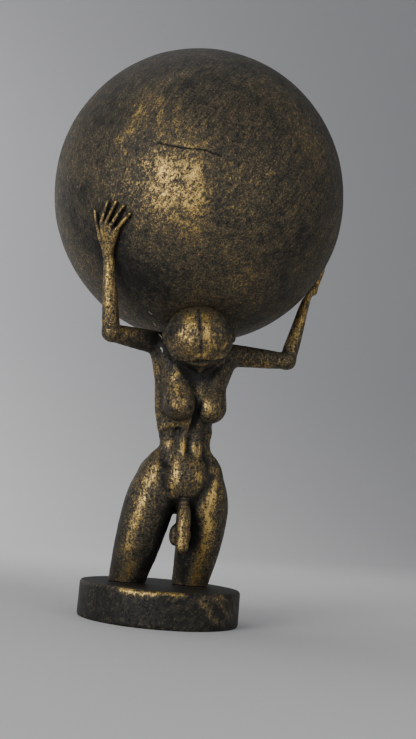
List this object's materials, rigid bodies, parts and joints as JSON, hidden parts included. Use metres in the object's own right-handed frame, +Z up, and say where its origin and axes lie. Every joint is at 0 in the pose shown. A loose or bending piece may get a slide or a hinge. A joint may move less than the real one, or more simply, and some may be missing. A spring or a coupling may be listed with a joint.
{
  "type": "atlas statue",
  "caption": "Bronze-painted atlas statue: a nude man, cut off above the knees, bows under a plain globe that he holds on his upper back, on a low oval plinth.",
  "frame": {"origin": "centre of the plinth's underside", "axes": "+Z up, the man faces -Y, +X is to his left"},
  "size_m": [0.1116, 0.1116, 0.2162],
  "materials": {
    "plinth": "black-brown bronze paint with worn gold on the upper edge",
    "figure": "satin black-brown bronze paint, dry-brushed with antique gold on the raised forms",
    "globe": "satin black-brown bronze paint, patchily brushed with antique gold"
  },
  "bodies": {
    "root": {"plinth": "plinth", "figure": "figure", "globe": "globe"}
  },
  "joints": []
}
